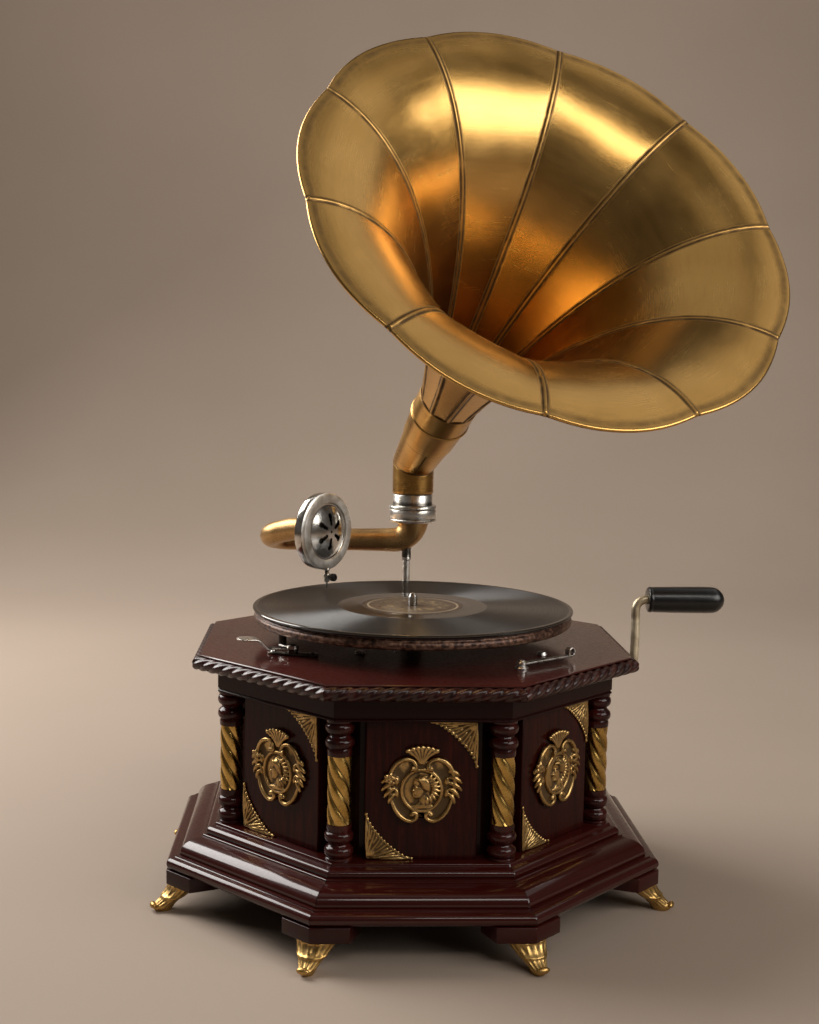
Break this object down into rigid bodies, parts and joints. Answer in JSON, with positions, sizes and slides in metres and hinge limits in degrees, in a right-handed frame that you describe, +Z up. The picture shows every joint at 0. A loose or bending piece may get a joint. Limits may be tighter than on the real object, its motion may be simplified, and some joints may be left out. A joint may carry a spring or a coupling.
{
  "type": "wind-up gramophone",
  "caption": "Wind-up gramophone with an octagonal lacquered cabinet, spring motor, turntable with a shellac record, swinging tone arm with soundbox, and a petalled brass horn.",
  "frame": {"origin": "on the floor plane under the feet, on the turntable spindle's axis", "axes": "+Z up along the spindle, -Y toward the front panel, +X toward the crank"},
  "size_m": [0.4587, 0.4139, 0.6541],
  "materials": {
    "lacquer": "gloss lacquer",
    "dark_wood": "satin stain",
    "cast_brass": "antique",
    "horn_brass": "brushed",
    "arm_bronze": "satin",
    "chrome": "polished",
    "steel": "turned",
    "spring_steel": "blued",
    "gear_brass": "machined",
    "crank_plate": "polished",
    "black_grip": "gloss lacquer",
    "black_knob": "gloss",
    "platter_enamel": "mottled",
    "felt": "nap",
    "shellac": "grooved",
    "label_paper": "printed paper",
    "mica": "translucent sheet",
    "leather": "matt"
  },
  "bodies": {
    "cabinet": {"feet": "cast_brass", "foot_screws": "steel", "foot_blocks": "dark_wood", "bottom_board": "dark_wood", "plinth_rails": "lacquer", "plinth_moulding": "lacquer", "plinth_cap": "lacquer", "carcass_boards": "dark_wood", "panels": "lacquer", "columns": "lacquer", "column_sleeves": "cast_brass", "medallions": "cast_brass", "corner_ornaments": "cast_brass", "frieze_boards": "lacquer", "top_board": "lacquer", "rope_moulding": "lacquer", "crank_escutcheon": "cast_brass", "post_flange": "chrome", "deck_screws": "steel", "arm_post": "chrome", "brake_base": "chrome", "speed_base": "chrome", "motor_bottom_plate": "steel", "motor_top_plate": "steel", "motor_pillars": "steel", "motor_bolts": "steel", "governor_bearings": "steel", "crank_bearing": "steel", "check_spring": "steel"},
    "crank": {"crank_rod": "crank_plate", "crank_pinion": "steel"},
    "grip": {"crank_grip": "black_grip"},
    "arbor": {"barrel_arbor": "steel", "winding_wheel": "gear_brass"},
    "barrel": {"spring_barrel": "gear_brass", "mainspring": "spring_steel"},
    "idler": {"idler_arbor": "steel", "idler_wheel": "gear_brass"},
    "turntable": {"spindle": "steel", "worm_wheel": "gear_brass", "platter": "platter_enamel", "platter_felt": "felt", "record": "shellac", "record_labels": "label_paper"},
    "governor": {"governor_shaft": "steel", "governor_weights": "gear_brass"},
    "arm": {"tonearm": "arm_bronze", "arm_collar": "chrome"},
    "neck": {"gooseneck": "arm_bronze"},
    "soundbox": {"soundbox_case": "chrome", "soundbox_cover": "chrome", "diaphragm": "mica", "needle_holder": "chrome", "needle": "steel"},
    "needle_screw": {"thumb_screw": "black_knob"},
    "horn": {"horn_pipe": "horn_brass", "horn_bell": "horn_brass"},
    "brake": {"brake_lever": "chrome", "brake_pad": "leather"},
    "speed": {"speed_lever": "chrome"}
  },
  "joints": [
    {"name": "turntable_spin", "type": "hinge", "parent": "cabinet", "child": "turntable", "pos_m": [0, 0, 0.21], "axis": [0, 0, 1], "continuous": true},
    {"name": "crank_turn", "type": "hinge", "parent": "cabinet", "child": "crank", "pos_m": [0.16, 0, 0.167], "axis": [1, 0, 0], "continuous": true},
    {"name": "grip_spin", "type": "hinge", "parent": "crank", "child": "grip", "pos_m": [0.2, 0, 0.222], "axis": [1, 0, 0], "continuous": true},
    {"name": "arbor_turn", "type": "hinge", "parent": "cabinet", "child": "arbor", "pos_m": [0.058, 0, 0.12], "axis": [0, 0, 1], "continuous": true},
    {"name": "barrel_turn", "type": "hinge", "parent": "cabinet", "child": "barrel", "pos_m": [0.058, 0, 0.1], "axis": [0, 0, 1], "continuous": true},
    {"name": "idler_turn", "type": "hinge", "parent": "cabinet", "child": "idler", "pos_m": [0.0227, 0.03886, 0.11], "axis": [0, 0, 1], "continuous": true},
    {"name": "governor_turn", "type": "hinge", "parent": "cabinet", "child": "governor", "pos_m": [-0.0176, 0, 0.104], "axis": [0, 1, 0], "continuous": true},
    {"name": "arm_swing", "type": "hinge", "parent": "cabinet", "child": "arm", "pos_m": [0.0018, 0.14, 0.22], "axis": [0, 0, 1], "range_deg": [-30, 34]},
    {"name": "gooseneck_lift", "type": "hinge", "parent": "arm", "child": "neck", "pos_m": [-0.055, 0.14, 0.25], "axis": [-1, 0, 0], "range_deg": [0, 45]},
    {"name": "soundbox_turn", "type": "hinge", "parent": "neck", "child": "soundbox", "pos_m": [-0.07196, 0.07866, 0.2645], "axis": [0.7912, -0.6115, 0], "range_deg": [-35, 35]},
    {"name": "needle_screw_turn", "type": "hinge", "parent": "soundbox", "child": "needle_screw", "pos_m": [-0.068, 0.0756, 0.2265], "axis": [0.7912, -0.6115, 0], "continuous": true},
    {"name": "horn_turn", "type": "hinge", "parent": "arm", "child": "horn", "pos_m": [0.0067, 0.14, 0.3], "axis": [0, 0, 1], "continuous": true},
    {"name": "brake_swing", "type": "hinge", "parent": "cabinet", "child": "brake", "pos_m": [-0.09174, -0.06424, 0.195], "axis": [0, 0, 1], "range_deg": [0, 20]},
    {"name": "speed_swing", "type": "hinge", "parent": "cabinet", "child": "speed", "pos_m": [0.072, -0.107, 0.194], "axis": [0, 0, 1], "range_deg": [-12, 12]}
  ],
  "couplings": [
    {"joint": "arbor_turn", "follows": "crank_turn", "ratio": 0.5},
    {"joint": "idler_turn", "follows": "turntable_spin", "ratio": -0.2},
    {"joint": "barrel_turn", "follows": "turntable_spin", "ratio": 0.033333},
    {"joint": "governor_turn", "follows": "turntable_spin", "ratio": 20}
  ]
}
